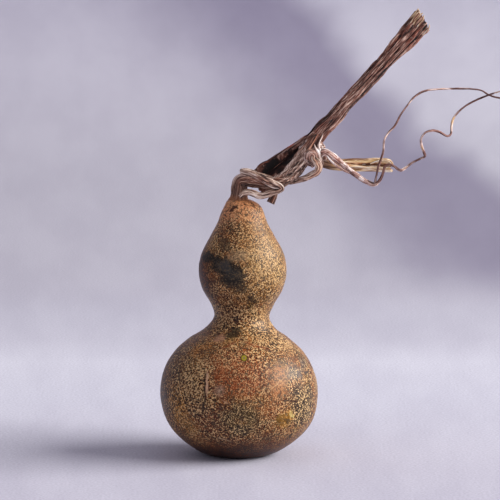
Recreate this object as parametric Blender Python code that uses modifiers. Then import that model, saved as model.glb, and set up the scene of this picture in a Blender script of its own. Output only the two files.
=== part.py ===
"""A small dried bottle gourd that stands on its own bottom, with the length of dried vine it grew on.

The fruit is one turned body. Its stem rises from the crown, folds over to the right and runs, twisted, into a joint
of the vine. The same joint carries a cut leaf stalk, a forked tendril and a second tendril that has wound itself
round the fruit's stem. X is to the viewer's right, Y away from the viewer, Z up, and the origin is the middle of the
flat spot that the gourd rests on.
"""

import math

import bmesh
import bpy
from mathutils import Vector

MM = 0.001
GAP = 0.3 * MM
MERGE = 1e-6

# The fruit: its height to the crown, and the radii that its outline passes through.
CROWN_Z = 77.5 * MM
FOOT_R = 7.6 * MM
BELLY_R = 23.6 * MM
BELLY_Z = 18.6 * MM
WAIST_R = 8.2 * MM
WAIST_Z = 41.9 * MM
BULB_R = 13.05 * MM
BULB_Z = 55.6 * MM
CROWN_R = 2.8 * MM
FRUIT_SIDES = 38
FRUIT_RINGS = 50

# The upper bulb stands a little to the right of the belly, and the stem a little to the left of the crown's middle.
BULB_LEAN = 1.2 * MM
LEAN_FROM_Z = 33.0 * MM
LEAN_TO_Z = 46.0 * MM
CROWN_LEAN = -1.0 * MM
CROWN_LEAN_FROM_Z = 75.6 * MM

# The belly is a little fuller on the right at this height.
LOW_SIDE_Z = 8.0 * MM
LOW_SIDE_SWELL = 0.025

# Outline of the fruit, bottom to top, as (radius, height).
FRUIT_OUTLINE = (
    (FOOT_R, 0.0),
    (10.6 * MM, 0.6 * MM),
    (13.7 * MM, 2.2 * MM),
    (17.6 * MM, 5.2 * MM),
    (21.3 * MM, 9.8 * MM),
    (BELLY_R, BELLY_Z),
    (22.5 * MM, 25.4 * MM),
    (19.5 * MM, 31.0 * MM),
    (15.0 * MM, 35.2 * MM),
    (10.5 * MM, 38.3 * MM),
    (WAIST_R, WAIST_Z),
    (9.3 * MM, 45.4 * MM),
    (11.9 * MM, 50.0 * MM),
    (BULB_R, BULB_Z),
    (12.3 * MM, 60.8 * MM),
    (9.6 * MM, 66.2 * MM),
    (7.3 * MM, 70.7 * MM),
    (5.9 * MM, 74.6 * MM),
    (4.4 * MM, 76.6 * MM),
    (CROWN_R, CROWN_Z),
)

# Each limb's route holds one row per station: x, y, z, then the width across the view and the depth along it, in mm.
FRUIT_STEM = (
    (0.2, 0.0, 77.8, 5.3, 5.2),
    (0.3, 0.0, 79.0, 4.4, 4.4),
    (0.3, 0.0, 81.0, 4.1, 4.0),
    (0.7, -0.4, 82.6, 3.4, 3.4),
    (2.2, -1.1, 83.1, 3.0, 3.1),
    (4.2, -1.8, 83.1, 2.8, 3.0),
    (6.8, -2.3, 82.9, 3.0, 3.0),
    (9.8, -2.6, 82.9, 3.3, 3.1),
    (13.0, -2.6, 83.3, 3.6, 3.2),
    (16.2, -2.2, 84.6, 3.9, 3.4),
    (18.3, -1.5, 86.9, 3.9, 3.4),
    (19.9, -0.7, 89.2, 3.7, 3.2),
    (21.0, 0.2, 91.4, 2.8, 2.6),
)
VINE = (
    (5.2, 4.9, 80.8, 7.3, 4.2),
    (9.0, 4.8, 84.4, 7.4, 4.4),
    (12.7, 4.3, 87.6, 6.4, 4.3),
    (16.1, 3.2, 90.4, 5.4, 4.2),
    (19.3, 2.0, 92.7, 5.1, 4.3),
    (22.3, 1.3, 95.0, 5.5, 4.6),
    (25.0, 1.0, 98.2, 5.1, 4.3),
    (28.2, 1.2, 101.3, 4.6, 4.0),
    (31.8, 1.6, 105.6, 4.3, 3.8),
    (36.1, 2.2, 109.9, 4.3, 3.7),
    (40.2, 3.0, 114.3, 4.5, 3.7),
    (44.5, 4.0, 118.9, 4.9, 3.8),
    (47.8, 4.8, 122.5, 5.3, 3.9),
    (51.5, 5.7, 126.7, 6.1, 4.0),
    (54.9, 6.6, 130.6, 6.7, 3.9),
)
LEAF_STALK = (
    (22.3, -0.2, 90.4, 2.4, 2.4),
    (24.6, 0.7, 88.7, 3.0, 2.7),
    (27.2, 1.1, 87.8, 3.2, 2.9),
    (30.5, 1.4, 87.5, 3.4, 3.0),
    (34.1, 1.5, 87.5, 3.6, 3.0),
    (37.7, 1.6, 87.4, 3.6, 3.0),
    (41.3, 1.7, 87.4, 3.8, 3.0),
    (45.4, 1.7, 87.2, 3.6, 2.8),
)

# A tendril's rows are x, y, z and its thickness, in mm.
TENDRIL_TRUNK = (
    (24.2, -2.0, 91.3, 1.8),
    (25.6, -2.6, 91.7, 1.8),
    (27.6, -3.2, 90.8, 1.8),
    (30.0, -3.6, 88.9, 1.8),
    (32.9, -4.0, 86.6, 1.8),
    (36.2, -4.2, 84.2, 1.7),
    (38.6, -4.3, 82.8, 1.6),
    (40.4, -4.3, 82.2, 1.4),
    (41.4, -4.3, 82.6, 1.2),
)
TENDRIL_UPPER = (
    (40.6, -4.3, 82.4, 0.9),
    (41.1, -4.5, 84.9, 0.9),
    (41.8, -4.2, 87.9, 0.9),
    (42.6, -3.6, 90.1, 0.9),
    (43.2, -3.0, 92.3, 0.8),
    (43.3, -2.4, 94.1, 0.8),
    (43.6, -1.8, 95.6, 0.8),
    (44.8, -0.8, 97.4, 0.8),
    (46.6, 0.4, 99.2, 0.8),
    (48.5, 1.8, 102.5, 0.8),
    (50.5, 3.4, 105.1, 0.8),
    (52.8, 5.0, 107.7, 0.8),
    (56.0, 6.6, 109.3, 0.8),
    (59.9, 8.0, 109.7, 0.8),
    (64.6, 9.0, 109.8, 0.75),
    (70.3, 9.0, 109.7, 0.75),
    (72.8, 8.0, 109.4, 0.75),
    (75.1, 5.8, 108.2, 0.75),
    (77.2, 3.6, 107.6, 0.7),
    (79.4, 2.0, 107.5, 0.7),
    (81.6, 1.4, 108.2, 0.65),
)
TENDRIL_LOWER = (
    (41.3, -4.3, 82.5, 1.1),
    (42.4, -4.9, 84.0, 1.1),
    (43.1, -5.2, 86.0, 1.1),
    (43.6, -5.3, 87.6, 1.1),
    (44.6, -5.3, 88.3, 1.1),
    (46.2, -5.0, 87.8, 1.1),
    (47.6, -3.8, 86.7, 1.1),
    (48.7, -1.6, 86.2, 1.05),
    (50.2, 0.2, 86.9, 1.0),
    (52.2, 1.0, 88.3, 1.0),
    (54.4, 0.2, 89.5, 1.0),
    (55.6, -2.0, 90.4, 1.0),
    (55.2, -4.4, 91.9, 1.0),
    (54.4, -6.0, 94.0, 1.0),
    (54.2, -6.8, 96.0, 1.0),
    (55.3, -6.9, 97.8, 0.95),
    (57.4, -5.6, 98.4, 0.95),
    (60.0, -3.0, 97.7, 0.95),
    (62.4, -0.2, 96.3, 0.95),
    (63.6, 2.4, 96.8, 0.95),
    (63.9, 4.6, 99.0, 0.9),
    (64.5, 6.0, 101.0, 0.9),
    (66.0, 6.8, 102.9, 0.9),
    (68.3, 7.0, 104.8, 0.85),
    (70.9, 6.6, 106.3, 0.8),
    (73.6, 5.6, 107.6, 0.75),
    (76.0, 3.6, 108.7, 0.7),
    (78.0, 1.6, 109.5, 0.65),
    (79.8, -0.2, 110.4, 0.65),
)
CLASPING_TENDRIL = (
    (22.3, -3.5, 88.9, 1.9),
    (22.9, -4.5, 88.1, 1.9),
    (23.8, -4.9, 87.0, 1.9),
    (24.2, -4.8, 85.6, 1.9),
    (23.6, -4.2, 84.2, 1.8),
    (21.9, -2.9, 83.1, 1.7),
    (19.3, -1.0, 82.4, 1.6),
    (16.8, 0.5, 82.0, 1.6),
    (14.0, 0.9, 82.2, 1.5),
    (10.8, 0.8, 83.2, 1.5),
    (7.6, 0.9, 84.0, 1.5),
    (4.8, 0.9, 84.9, 1.5),
    (2.6, 0.2, 85.6, 1.4),
    (1.2, -1.1, 85.6, 1.4),
    (1.7, -2.7, 85.3, 1.4),
    (3.5, -3.8, 84.9, 1.4),
    (6.0, -4.7, 84.1, 1.4),
    (8.6, -5.2, 83.2, 1.4),
    (10.8, -5.4, 82.3, 1.4),
    (12.2, -5.4, 81.5, 1.4),
    (12.4, -5.3, 80.5, 1.4),
    (11.2, -5.3, 79.7, 1.4),
    (9.2, -4.9, 79.0, 1.4),
    (7.4, -4.3, 78.5, 1.4),
    (5.7, -3.8, 79.2, 1.4),
    (3.9, -3.7, 80.2, 1.4),
    (2.1, -3.6, 80.2, 1.3),
    (0.7, -3.6, 79.2, 1.2),
    (0.1, -3.6, 78.5, 1.1),
)

# The side stub is a second stalk on the fruit's stem, cut off short; its rows are as the other stems'.
STUB = (
    (11.3, -2.8, 82.4, 1.8, 1.6),
    (11.0, -2.8, 80.2, 1.9, 1.7),
    (10.4, -2.9, 78.3, 2.1, 1.8),
    (9.6, -3.0, 76.5, 2.3, 1.9),
)

# The vine's joint is a group of round swellings: x, y, z and radius, in mm.
JOINT_SWELLINGS = (
    (22.5, -1.0, 90.2, 2.7),
    (23.4, -0.2, 92.4, 2.1),
    (20.9, 0.2, 92.4, 2.4),
)

# The bud is a small ring on the front of the joint, turned to face the viewer.
BUD_CURL = (23.0, -3.6, 89.9)
BUD_CURL_R = 1.0 * MM
BUD_STRAND_R = 0.5 * MM
BUD_TURN = (math.radians(80), 0, math.radians(12))

# Relief of each stem's section as a share of its radius, and where along it or round it each feature lies.
FRUIT_STEM_RIBS = 5
FRUIT_STEM_RELIEF = 0.09
FRUIT_STEM_TWIST = math.radians(325)
KNUCKLE = 0.24
KNUCKLE_AT = 0.165
VINE_RIBS = 6
VINE_RELIEF = 0.06
HOLLOW_AT = math.radians(95)
HOLLOW_DEPTH = 0.82
SPLIT_AT = math.radians(125)
SPLIT_DEPTH = 0.5
LEAF_STALK_RIBS = 7
LEAF_STALK_RELIEF = 0.06
STRAW_OPEN_AT = math.radians(80)
STRAW_OPEN_DEPTH = 0.4
STUB_RELIEF = 0.1

# How far the torn ends are ragged, and the ends of the vine skewed.
VINE_JAG = 0.5 * MM
VINE_SLANTS = (-1.0 * MM, 1.0 * MM)
LEAF_STALK_JAG = 0.5 * MM
STUB_JAG = 0.25 * MM
JAG_RHYTHM = 3.7

SHARP_ANGLE = math.radians(55)


def smooth_step(low, high, value):
    """0 below low, 1 above high, and an even S between them."""
    share = min(1.0, max(0.0, (value - low) / (high - low)))
    return share * share * (3 - 2 * share)


def bump(value, centre, width):
    """1 at the centre, fading away evenly over about that width to each side."""
    return math.exp(-(((value - centre) / width) ** 2))


def slope_at(rows, knots, i):
    """The slope of each column at row i, from its neighbours."""
    before, after = max(i - 1, 0), min(i + 1, len(rows) - 1)
    if before == i or after == i:
        span = knots[after] - knots[before]
        return [(end - start) / span for start, end in zip(rows[before], rows[after])]
    first, second = knots[i] - knots[before], knots[after] - knots[i]
    return [
        ((b - a) / first * second + (c - b) / second * first) / (first + second)
        for a, b, c in zip(rows[before], rows[i], rows[after])
    ]


def spaced_rows(rows, count):
    """count rows evenly spaced along a smooth curve through the given rows, which start with their place."""
    place = 3 if len(rows[0]) > 2 else 2
    knots = [0.0]
    for before, after in zip(rows, rows[1:]):
        knots.append(knots[-1] + math.dist(before[:place], after[:place]))
    slopes = [slope_at(rows, knots, i) for i in range(len(rows))]
    made, i = [], 0
    for n in range(count):
        at = knots[-1] * n / (count - 1)
        while i < len(rows) - 2 and at > knots[i + 1]:
            i += 1
        length = knots[i + 1] - knots[i]
        t = (at - knots[i]) / length
        start, end = 2 * t**3 - 3 * t**2 + 1, 3 * t**2 - 2 * t**3
        leave, arrive = (t**3 - 2 * t**2 + t) * length, (t**3 - t**2) * length
        made.append([
            start * a + end * b + leave * p + arrive * q
            for a, b, p, q in zip(rows[i], rows[i + 1], slopes[i], slopes[i + 1])
        ])
    return made


def facing_frames(points):
    """(side, front) at each point of a route, where front is the side of the limb that the viewer sees."""
    toward_viewer = Vector((0, -1, 0))
    last = len(points) - 1
    frames = []
    for i in range(last + 1):
        along = (points[min(i + 1, last)] - points[max(i - 1, 0)]).normalized()
        side = toward_viewer.cross(along).normalized()
        frames.append((side, along.cross(side)))
    return frames


def dip(angle, centre, width, depth):
    """A groove of that depth along a limb, centred on one angle of its section."""
    return depth * bump(math.remainder(angle - centre, math.tau), 0.0, width)


def fruit_stem_section(angle, along):
    """Ribs that make most of a turn as the stem twists, and a knuckle on the outside of the fold."""
    twist = FRUIT_STEM_TWIST * smooth_step(0.1, 0.9, along)
    ribs = FRUIT_STEM_RELIEF * (math.cos(FRUIT_STEM_RIBS * (angle - twist)) - 0.4)
    knuckle = KNUCKLE * bump(along, KNUCKLE_AT, 0.035) * max(0.0, math.cos(angle))
    return 1 + ribs + knuckle


def vine_section(angle, along):
    """Ribs, a hollow torn open towards the viewer at the lower end, and a long split at the upper end."""
    ribs = VINE_RELIEF * (math.cos(VINE_RIBS * angle) - 1) + VINE_RELIEF / 2 * math.sin(10 * angle)
    torn = dip(angle, HOLLOW_AT, 0.75, HOLLOW_DEPTH * (1 - smooth_step(0.12, 0.30, along)))
    split = dip(angle, SPLIT_AT, 0.24, SPLIT_DEPTH * smooth_step(0.55, 0.9, along))
    return 1 + ribs - torn - split


def leaf_stalk_section(angle, along):
    """A ribbed straw, open towards the viewer near its broken end."""
    ribs = LEAF_STALK_RELIEF * math.cos(LEAF_STALK_RIBS * angle)
    return 1 + ribs - dip(angle, STRAW_OPEN_AT, 0.4, STRAW_OPEN_DEPTH * smooth_step(0.45, 0.8, along))


def stub_section(angle, along):
    return 1 + STUB_RELIEF * math.cos(4 * angle + 0.5)


def limb(name, rows, count, sides, section, grow=0.0, jag=0.0, slants=(0.0, 0.0)):
    """A closed loft along a route between unlike sections, each scaled by its station's width and depth.

    grow makes it that much fatter all round, for a cutter that leaves a gap. jag tears its ends, and slants cut
    its first and last ends on the skew."""
    stations = spaced_rows([[value * MM for value in row] for row in rows], count)
    points = [Vector(row[:3]) for row in stations]
    shape = bmesh.new()
    rings = []
    for i, (point, row, (side, front)) in enumerate(zip(points, stations, facing_frames(points))):
        half_width, half_depth = row[3] / 2 + grow, row[4] / 2 + grow
        ring = []
        for k in range(sides):
            angle = math.tau * k / sides
            share = section(angle, i / (count - 1))
            place = point + side * (half_width * math.cos(angle) * share)
            place += front * (half_depth * math.sin(angle) * share)
            if i in (0, count - 1):
                slant = slants[0] if i == 0 else slants[1]
                place += side.cross(front) * (slant * math.cos(angle) + jag * math.sin(JAG_RHYTHM * k))
            ring.append(shape.verts.new(place))
        rings.append(ring)
    for lower, upper in zip(rings, rings[1:]):
        for k in range(sides):
            after = (k + 1) % sides
            shape.faces.new((lower[k], lower[after], upper[after], upper[k]))
    for ring, centre in ((rings[0][::-1], points[0]), (rings[-1], points[-1])):
        middle = shape.verts.new(centre)
        for k in range(sides):
            shape.faces.new((ring[k], ring[(k + 1) % sides], middle))
    return mesh_object(name, shape)


def tube(name, rows, count, resolution=1):
    """A round strand along a smooth route whose rows are x, y, z and thickness in mm."""
    curve = bpy.data.curves.new(name, "CURVE")
    curve.dimensions = "3D"
    curve.bevel_depth = MM / 2
    curve.bevel_resolution = resolution
    curve.use_fill_caps = True
    spline = curve.splines.new("POLY")
    spline.points.add(count - 1)
    for point, (x, y, z, thickness) in zip(spline.points, spaced_rows(rows, count)):
        point.co = (x * MM, y * MM, z * MM, 1)
        point.radius = thickness
    strand = bpy.data.objects.new(name, curve)
    bpy.context.scene.collection.objects.link(strand)
    shape = bmesh.new()
    shape.from_mesh(applied_mesh(strand))
    bmesh.ops.remove_doubles(shape, verts=shape.verts, dist=MERGE)
    bpy.data.objects.remove(strand)
    return mesh_object(name, shape)


def ball(name, centre, radius):
    shape = bmesh.new()
    bmesh.ops.create_icosphere(shape, subdivisions=2, radius=radius)
    bmesh.ops.translate(shape, verts=shape.verts, vec=centre)
    return mesh_object(name, shape)


def mesh_object(name, shape):
    """An object in the scene that holds a finished bmesh."""
    mesh = bpy.data.meshes.new(name)
    shape.to_mesh(mesh)
    shape.free()
    obj = bpy.data.objects.new(name, mesh)
    bpy.context.scene.collection.objects.link(obj)
    return obj


def applied_mesh(obj):
    """The mesh of an object with its modifiers, or its bevel, applied."""
    return bpy.data.meshes.new_from_object(obj.evaluated_get(bpy.context.evaluated_depsgraph_get()))


def combine(obj, others, operation="UNION"):
    """Applies a Boolean of obj with each of the others, which are then removed."""
    for other in others:
        boolean = obj.modifiers.new(operation.lower(), "BOOLEAN")
        boolean.operation = operation
        boolean.solver = "EXACT"
        boolean.object = other
        mesh = applied_mesh(obj)
        obj.modifiers.clear()
        obj.data = mesh
        bpy.data.objects.remove(other)
    return obj


def fruit_shape(angle, z):
    """How the fruit's surface leaves its turned outline: a share of the radius, and a shift along X."""
    belly, bulb = bump(z, BELLY_Z, 12 * MM), bump(z, BULB_Z, 8 * MM)
    swell = belly * (0.010 * math.cos(2 * angle + 0.9) + 0.007 * math.cos(3 * angle - 0.5))
    swell += bulb * (0.012 * math.cos(2 * angle - 0.4) + 0.006 * math.cos(5 * angle + 1.1))
    swell += LOW_SIDE_SWELL * max(0.0, math.cos(angle)) * bump(z, LOW_SIDE_Z, 6 * MM)
    shift = BULB_LEAN * smooth_step(LEAN_FROM_Z, LEAN_TO_Z, z)
    return swell, shift + CROWN_LEAN * smooth_step(CROWN_LEAN_FROM_Z, CROWN_Z, z)


def make_fruit():
    """The outline turned round Z, then swollen and leant a little; its foot stays flat."""
    outline = reversed(spaced_rows(FRUIT_OUTLINE, FRUIT_RINGS))
    rows = [(0.0, CROWN_Z), *outline, (0.0, 0.0)]
    shape = bmesh.new()
    verts = [shape.verts.new((radius, 0, z)) for radius, z in rows]
    for upper, lower in zip(verts, verts[1:]):
        shape.edges.new((upper, lower))
    fruit = mesh_object("gourd", shape)
    screw = fruit.modifiers.new("turn", "SCREW")
    screw.steps = screw.render_steps = FRUIT_SIDES
    screw.use_merge_vertices = True
    screw.merge_threshold = MERGE
    fruit.data = applied_mesh(fruit)
    fruit.modifiers.clear()
    for vert in fruit.data.vertices:
        x, y, z = vert.co
        swell, shift = fruit_shape(math.atan2(y, x), z)
        vert.co = (x * (1 + swell) + shift, y * (1 + swell), z)
    return fruit


def make_vine(grow=0.0):
    """The vine with its joint, and the small curled bud on the joint."""
    jag = 0.0 if grow else VINE_JAG
    vine = limb("vine", VINE, 40, 20, vine_section, grow, jag, VINE_SLANTS)
    swellings = [ball("swelling", Vector((x, y, z)) * MM, r * MM + grow) for x, y, z, r in JOINT_SWELLINGS]
    bpy.ops.mesh.primitive_torus_add(
        major_radius=BUD_CURL_R, minor_radius=BUD_STRAND_R + grow, major_segments=14, minor_segments=8,
        location=Vector(BUD_CURL) * MM, rotation=BUD_TURN,
    )
    return combine(vine, [*swellings, bpy.context.object])


def make_fruit_stem(grow=0.0):
    """The fruit's stem with its side stub."""
    stem = limb("fruit_stem", FRUIT_STEM, 44, 15, fruit_stem_section, grow)
    return combine(stem, [limb("stub", STUB, 7, 8, stub_section, grow, STUB_JAG)])


def make_leaf_stalk():
    return limb("leaf_stalk", LEAF_STALK, 20, 14, leaf_stalk_section, jag=LEAF_STALK_JAG)


def make_forked_tendril():
    trunk = tube("forked_tendril", TENDRIL_TRUNK, 18, 2)
    return combine(trunk, [tube("lower", TENDRIL_LOWER, 60), tube("upper", TENDRIL_UPPER, 42)])


def make_clasping_tendril():
    return tube("clasping_tendril", CLASPING_TENDRIL, 90)


def material(name, colour, roughness):
    made = bpy.data.materials.new(name)
    made.use_nodes = True
    shader = made.node_tree.nodes["Principled BSDF"]
    shader.inputs["Base Color"].default_value = (*colour, 1)
    shader.inputs["Roughness"].default_value = roughness
    shader.inputs["Metallic"].default_value = 0.0
    return made


def hand_over(collection, obj, surface):
    """Puts a finished part in the object's collection, shaded smooth, in its own material."""
    bpy.context.scene.collection.objects.unlink(obj)
    collection.objects.link(obj)
    obj.data.shade_smooth()
    obj.data.set_sharp_from_angle(angle=SHARP_ANGLE)
    obj.data.materials.clear()
    obj.data.materials.append(surface)


def main():
    for obj in list(bpy.data.objects):
        bpy.data.objects.remove(obj)
    collection = bpy.data.collections.new("dried_bottle_gourd")
    bpy.context.scene.collection.children.link(collection)

    fruit = make_fruit()
    vine = make_vine()
    stem = combine(make_fruit_stem(), [make_vine(GAP)], "DIFFERENCE")
    stalk = combine(make_leaf_stalk(), [make_vine(GAP), make_fruit_stem(GAP)], "DIFFERENCE")
    forked = combine(make_forked_tendril(), [make_vine(GAP)], "DIFFERENCE")
    clasping = combine(make_clasping_tendril(), [make_vine(GAP)], "DIFFERENCE")

    hand_over(collection, fruit, material("gourd_skin", (0.33, 0.20, 0.09), 0.45))
    hand_over(collection, vine, material("dry_vine", (0.16, 0.10, 0.07), 0.8))
    hand_over(collection, stem, material("fruit_stem_fibre", (0.30, 0.22, 0.16), 0.75))
    hand_over(collection, stalk, material("straw", (0.55, 0.42, 0.22), 0.7))
    hand_over(collection, forked, material("forked_tendril_skin", (0.38, 0.27, 0.21), 0.6))
    hand_over(collection, clasping, material("clasping_tendril_skin", (0.34, 0.24, 0.17), 0.65))


main()
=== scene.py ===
import math

import bmesh
import bpy
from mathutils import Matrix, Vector, noise


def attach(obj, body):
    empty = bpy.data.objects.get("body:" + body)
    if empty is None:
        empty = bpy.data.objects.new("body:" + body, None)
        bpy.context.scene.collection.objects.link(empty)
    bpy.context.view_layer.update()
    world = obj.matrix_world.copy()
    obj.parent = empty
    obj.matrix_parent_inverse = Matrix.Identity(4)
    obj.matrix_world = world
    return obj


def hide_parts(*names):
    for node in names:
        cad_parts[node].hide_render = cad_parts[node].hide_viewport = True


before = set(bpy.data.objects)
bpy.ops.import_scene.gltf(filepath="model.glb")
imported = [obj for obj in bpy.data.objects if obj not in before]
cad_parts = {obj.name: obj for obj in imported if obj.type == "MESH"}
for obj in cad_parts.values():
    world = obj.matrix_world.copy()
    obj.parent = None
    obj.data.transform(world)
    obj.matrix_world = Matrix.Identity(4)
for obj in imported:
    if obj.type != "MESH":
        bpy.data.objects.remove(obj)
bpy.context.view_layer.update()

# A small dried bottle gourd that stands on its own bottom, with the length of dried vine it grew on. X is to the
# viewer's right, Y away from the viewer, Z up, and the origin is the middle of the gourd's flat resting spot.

MM = 0.001

# The fruit's outline from the foot up, as (radius, height) in mm, and how the turned form leans and swells.
FRUIT_OUTLINE = (
    (7.6, 0), (10.6, 0.6), (13.7, 2.2), (17.6, 5.2), (21.3, 9.8), (23.6, 18.6), (22.5, 25.4), (19.5, 31), (15, 35.2),
    (10.5, 38.3), (8.2, 41.9), (9.3, 45.4), (11.9, 50), (13.05, 55.6), (12.3, 60.8), (9.6, 66.2), (7.3, 70.7),
    (5.9, 74.6), (4.4, 76.6), (2.8, 77.5),
)
FRUIT_RINGS = 84
FRUIT_SIDES = 112
BELLY_Z = 18.6
BULB_Z = 55.6
CROWN_Z = 77.5

# Routes of the stems: x, y, z, then the width across the view and the depth along it, in mm. A row without a depth
# is round.
FRUIT_STEM = (
    (0.2, 0, 75.9, 7.2, 6.8), (0.2, 0, 76.9, 6.4, 6), (0.25, 0, 77.8, 5.2, 5), (0.3, 0, 79, 4.5, 4.4),
    (0.3, 0, 81, 4.3, 4.1), (0.7, -0.5, 82.6, 3.8, 3.6), (2.2, -1.2, 83, 3.4, 3.2), (4.4, -1.9, 82.9, 3.1, 3),
    (7, -2.4, 82.6, 3.1, 3), (10, -2.7, 82.4, 3.4, 3.1), (12.9, -2.7, 83.2, 3.9, 3.2), (15.5, -2.5, 85.1, 4.3, 3.3),
    (17.9, -2.1, 87.7, 4.5, 3.3), (19.8, -1.7, 90.3, 4.5, 3.2), (21.2, -1.3, 92.8, 4, 2.9),
    (22.6, -0.8, 95.2, 3, 2.2), (24, -0.1, 97.4, 1.6, 1.2),
)
VINE = (
    (5.2, 4.9, 80.8, 7.3, 4.2), (9, 4.8, 84.4, 7.4, 4.4), (12.7, 4.3, 87.6, 6.4, 4.3), (16.1, 3.2, 90.4, 5.4, 4.2),
    (19.3, 2, 92.7, 5.1, 4.3), (22.3, 1.3, 95, 5.5, 4.6), (25, 1, 98.2, 5.1, 4.3), (28.2, 1.2, 101.3, 4.6, 4),
    (31.8, 1.6, 105.6, 4.3, 3.8), (36.1, 2.2, 109.9, 4.3, 3.7), (40.2, 3, 114.3, 4.5, 3.7),
    (44.5, 4, 118.9, 4.9, 3.8), (47.8, 4.8, 122.5, 5.3, 3.9), (51.5, 5.7, 126.7, 6.1, 4),
    (54.9, 6.6, 130.6, 6.7, 3.9),
)
LEAF_STALK = (
    (22.3, -0.2, 90.4, 2.6, 2.4), (24.6, 0.7, 88.7, 3, 2.7), (27.2, 1.1, 87.8, 3.2, 2.9), (30.5, 1.4, 87.5, 3.4, 3),
    (34.1, 1.5, 87.5, 3.6, 3), (37.7, 1.6, 87.4, 3.6, 3), (41.3, 1.7, 87.4, 3.8, 3), (45.4, 1.7, 87.2, 3.6, 2.8),
)
TENDRIL_TRUNK = (
    (23.4, -1.4, 91, 2.1, 1.9), (24.2, -2, 91.3, 2, 1.9), (25.6, -2.6, 91.7, 2, 1.8), (27.6, -3.2, 90.8, 1.9, 1.8),
    (30, -3.6, 88.9, 1.8, 1.7), (32.9, -4, 86.6, 1.8, 1.7), (36.2, -4.2, 84.2, 1.7, 1.6),
    (38.6, -4.3, 82.8, 1.6, 1.5), (40.4, -4.3, 82.2, 1.4), (41.4, -4.3, 82.6, 1.2),
)
TENDRIL_UPPER = (
    (40.6, -4.3, 82.4, 1, 0.9), (41.1, -4.5, 84.9, 0.95, 0.9), (41.8, -4.2, 87.9, 0.9), (42.6, -3.6, 90.1, 0.9, 0.85),
    (43.2, -3, 92.3, 0.8), (43.3, -2.4, 94.1, 0.8), (43.6, -1.8, 95.6, 0.8), (44.8, -0.8, 97.4, 0.8),
    (46.6, 0.4, 99.2, 0.8), (48.5, 1.8, 102.5, 0.8), (50.5, 3.4, 105.1, 0.8), (52.8, 5, 107.7, 0.8),
    (56, 6.6, 109.3, 0.8), (59.9, 8, 109.7, 0.8), (64.6, 9, 109.8, 0.75), (70.3, 9, 109.7, 0.75),
    (72.8, 8, 109.4, 0.75), (75.1, 5.8, 108.2, 0.75), (77.2, 3.6, 107.6, 0.7), (79.4, 2, 107.5, 0.7),
    (81.6, 1.4, 108.2, 0.6),
)
TENDRIL_LOWER = (
    (41.3, -4.3, 82.5, 1.2, 1.1), (42.4, -4.9, 84, 1.1), (43.1, -5.2, 86, 1.1), (43.6, -5.3, 87.6, 1.1),
    (44.6, -5.3, 88.3, 1.1), (46.2, -5, 87.8, 1.1), (47.6, -3.8, 86.7, 1.1), (48.7, -1.6, 86.2, 1.05, 1),
    (50.2, 0.2, 86.9, 1), (52.2, 1, 88.3, 1), (54.4, 0.2, 89.5, 1), (55.6, -2, 90.4, 1), (55.2, -4.4, 91.9, 1),
    (54.4, -6, 94, 1), (54.2, -6.8, 96, 1), (55.3, -6.9, 97.8, 0.95), (57.4, -5.6, 98.4, 0.95), (60, -3, 97.7, 0.95),
    (62.4, -0.2, 96.3, 0.95), (63.6, 2.4, 96.8, 0.95), (63.9, 4.6, 99, 0.9), (64.5, 6, 101, 0.9),
    (66, 6.8, 102.9, 0.9), (68.3, 7, 104.8, 0.85), (70.9, 6.6, 106.3, 0.8), (73.6, 5.6, 107.6, 0.75),
    (76, 3.6, 108.7, 0.7), (78, 1.6, 109.5, 0.65), (79.8, -0.2, 110.4, 0.6),
)
CLASPING_TENDRIL = (
    (22.2, -3, 90.4, 1.9), (22.5, -3.9, 89.5, 2, 1.9), (23.3, -4.6, 88.7, 2.1, 1.9), (23.9, -4.8, 87.4, 2.1, 1.9),
    (23.4, -4.5, 86, 2, 1.9), (21.8, -3.7, 84.9, 1.9, 1.8), (19.6, -2.4, 83.9, 1.8, 1.7),
    (17.3, -0.9, 83.1, 1.7, 1.6), (15, 0.3, 82.4, 1.6), (12.8, 0.9, 82.4, 1.6, 1.5), (10.4, 0.9, 83.2, 1.6, 1.5),
    (7.6, 0.9, 84, 1.6, 1.5), (4.8, 0.9, 85, 1.6, 1.5), (2.6, 0.2, 85.8, 1.5, 1.4), (1.1, -1.1, 85.9, 1.5, 1.4),
    (1.7, -2.7, 85.8, 1.6, 1.4), (3.5, -3.8, 85.5, 1.8, 1.4), (6, -4.6, 84.6, 2.1, 1.5), (8.6, -5.1, 83.3, 2.3, 1.5),
    (10.8, -5.3, 82.3, 2.1, 1.4), (12.4, -5.4, 81.8, 1.7, 1.4), (13, -5.3, 81.1, 1.5, 1.4),
    (11.9, -5.2, 80.4, 1.7, 1.4), (10.1, -4.9, 79.9, 1.9, 1.4), (8.2, -4.6, 79.2, 2, 1.4), (6.4, -4.3, 78.8, 2, 1.4),
    (4.6, -4.1, 79.4, 1.9, 1.4), (2.9, -3.9, 79.8, 1.8, 1.4), (1.4, -3.8, 79.4, 1.6, 1.3), (0.4, -3.7, 78.4, 1.1, 1),
)
STUB = (
    (11.3, -2.8, 82.4, 1.8, 1.6), (11, -2.8, 80.2, 1.9, 1.7), (10.4, -2.9, 78.3, 2.1, 1.8), (9.6, -3, 76.5, 2.3, 1.9),
)

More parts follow.
